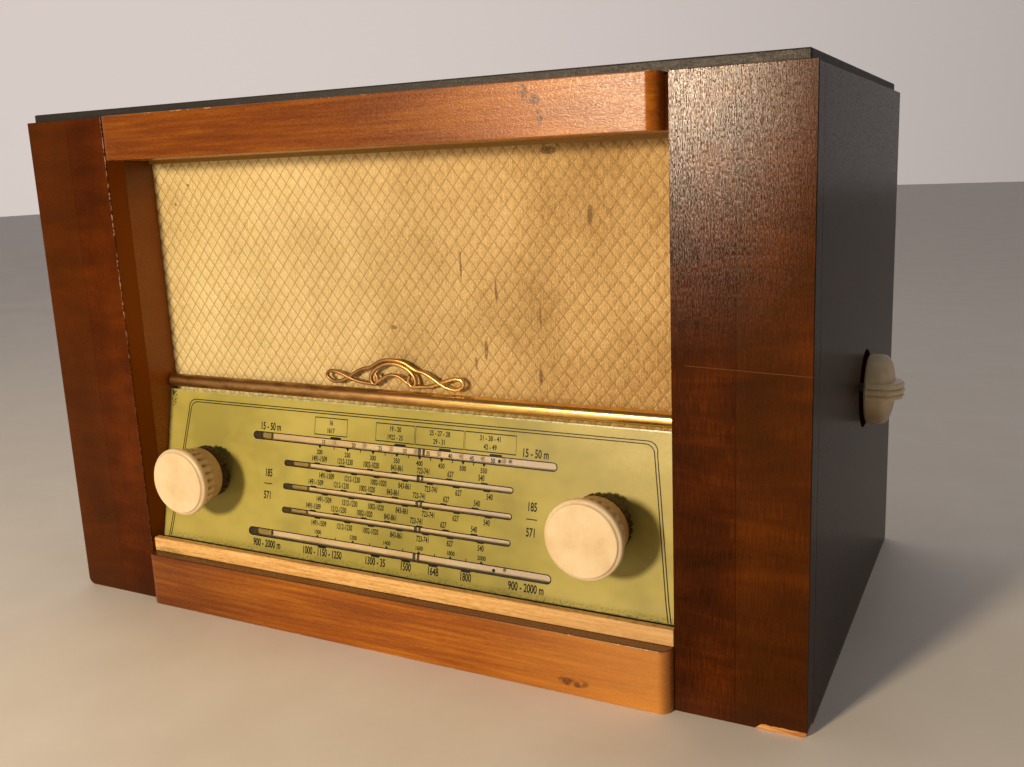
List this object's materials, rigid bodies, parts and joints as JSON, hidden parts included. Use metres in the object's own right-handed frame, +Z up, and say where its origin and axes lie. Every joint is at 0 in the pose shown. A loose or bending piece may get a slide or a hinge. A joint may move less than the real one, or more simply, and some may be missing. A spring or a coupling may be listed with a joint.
{
  "type": "tabletop radio",
  "caption": "Wooden tabletop valve radio: wide front pillars, cloth grille with brass bar, tilted glass dial with slots, concentric ivory front knobs and a side band knob.",
  "frame": {"origin": "on the resting plane, at mid width, under the front face of the front stiles", "axes": "+X to the right seen from the front, +Y to the back, +Z up"},
  "size_m": [0.5217, 0.2953, 0.322],
  "materials": {
    "dark_veneer": "gloss lacquer over dark walnut-coloured veneer",
    "warm_wood": "satin lacquer, honey brown",
    "maple": "satin lacquer, pale",
    "plywood": "bare, matt",
    "grille_fabric": "quilted golden cloth",
    "brass": "aged polish",
    "dial_glass": "back-painted sage green with clear slots",
    "cream_paint": "satin cream",
    "plated_steel": "dull plated",
    "phenolic_board": "matt",
    "aluminium": "satin",
    "grey_paint": "satin",
    "cone_paper": "matt",
    "core_steel": "varnished",
    "bakelite": "moulded, knurled",
    "clear_glass": "clear",
    "cord_thread": "waxed thread",
    "rubber": "matt",
    "hardboard": "pressed fibre, matt",
    "ivory_plastic": "aged ivory, semi-gloss",
    "pointer_paint": "satin",
    "ferrite": "matt"
  },
  "bodies": {
    "cabinet": {"side_panel_left": "dark_veneer", "side_panel_right": "dark_veneer", "front_stile_left": "dark_veneer", "front_stile_right": "dark_veneer", "top_rail": "warm_wood", "bottom_rail": "warm_wood", "top_panel": "dark_veneer", "base_board": "plywood", "side_reveals": "warm_wood", "top_reveal": "warm_wood", "rear_battens": "plywood", "baffle_board": "plywood", "grille_cloth": "grille_fabric", "trim_bar": "brass", "ornament": "brass", "dial_glass": "dial_glass", "scale_plate": "cream_paint", "dial_fillet": "maple", "dial_frame": "plated_steel", "pointer_rod": "plated_steel", "chassis": "plated_steel", "chassis_bolts": "plated_steel", "volume_tone_pot": "plated_steel", "tuning_bushing": "brass", "switch_bracket": "plated_steel", "band_switch": "phenolic_board", "gang_frame": "plated_steel", "gang_stator": "aluminium", "speaker_basket": "grey_paint", "speaker_cone": "cone_paper", "speaker_magnet": "grey_paint", "output_transformer": "core_steel", "mains_transformer": "core_steel", "valve_sockets": "bakelite", "valves": "clear_glass", "if_cans": "aluminium", "filter_capacitor": "aluminium", "dial_lamps": "clear_glass", "drive_cord": "cord_thread", "aerial_post": "plated_steel", "socket_strip": "bakelite", "voltage_selector": "bakelite", "lead_grommet": "rubber", "rear_cover": "hardboard", "cover_screws": "brass"},
    "volume": {"volume_knob": "ivory_plastic", "volume_shaft": "plated_steel"},
    "tone": {"tone_ring": "bakelite", "tone_tube": "plated_steel"},
    "tuning": {"tuning_knob": "ivory_plastic", "tuning_shaft": "plated_steel"},
    "aerial_control": {"aerial_ring": "bakelite", "aerial_tube": "plated_steel"},
    "band_selector": {"band_knob": "ivory_plastic", "band_shaft": "plated_steel"},
    "tuning_gang": {"gang_rotor": "aluminium"},
    "dial_pointer": {"pointer": "pointer_paint"},
    "left_idler": {"idler_left": "brass"},
    "right_idler": {"idler_right": "brass"},
    "ferrite_aerial": {"aerial_rotor": "ferrite"}
  },
  "joints": [
    {"name": "volume_turn", "type": "hinge", "parent": "cabinet", "child": "volume", "pos_m": [-0.139, 0, 0.0904], "axis": [0, 1, 0], "range_deg": [-150, 150]},
    {"name": "tone_turn", "type": "hinge", "parent": "cabinet", "child": "tone", "pos_m": [-0.139, 0, 0.0904], "axis": [0, 1, 0], "range_deg": [-150, 150]},
    {"name": "gang_turn", "type": "hinge", "parent": "cabinet", "child": "tuning_gang", "pos_m": [0.07, 0, 0.092], "axis": [0, 1, 0], "range_deg": [-75, 104]},
    {"name": "tuning_turn", "type": "hinge", "parent": "cabinet", "child": "tuning", "pos_m": [0.139, 0, 0.0904], "axis": [0, 1, 0], "range_deg": [-1010, 730]},
    {"name": "pointer_slide", "type": "slide", "parent": "cabinet", "child": "dial_pointer", "axis": [1, 0, 0], "range_m": [-0.0792, 0.0568]},
    {"name": "idler_left_turn", "type": "hinge", "parent": "cabinet", "child": "left_idler", "pos_m": [-0.115, 0, 0.0295], "axis": [0, 1, 0], "range_deg": [-600, 830]},
    {"name": "idler_right_turn", "type": "hinge", "parent": "cabinet", "child": "right_idler", "pos_m": [0.118, 0, 0.0295], "axis": [0, 1, 0], "range_deg": [-600, 830]},
    {"name": "aerial_turn", "type": "hinge", "parent": "cabinet", "child": "ferrite_aerial", "pos_m": [0.125, 0.2, 0.236], "axis": [0, 0, 1], "range_deg": [-90, 90]},
    {"name": "aerial_control_turn", "type": "hinge", "parent": "cabinet", "child": "aerial_control", "pos_m": [0.139, 0, 0.0904], "axis": [0, 1, 0], "range_deg": [-90, 90]},
    {"name": "band_turn", "type": "hinge", "parent": "cabinet", "child": "band_selector", "pos_m": [0.25, 0.16, 0.1395], "axis": [1, 0, 0], "range_deg": [-60, 30]}
  ],
  "couplings": [
    {"joint": "tuning_turn", "follows": "gang_turn", "ratio": -9.622},
    {"joint": "pointer_slide", "follows": "gang_turn", "m_per_rad": -0.0433},
    {"joint": "idler_left_turn", "follows": "gang_turn", "ratio": 7.873},
    {"joint": "idler_right_turn", "follows": "gang_turn", "ratio": 7.873},
    {"joint": "aerial_control_turn", "follows": "aerial_turn", "ratio": -1}
  ]
}
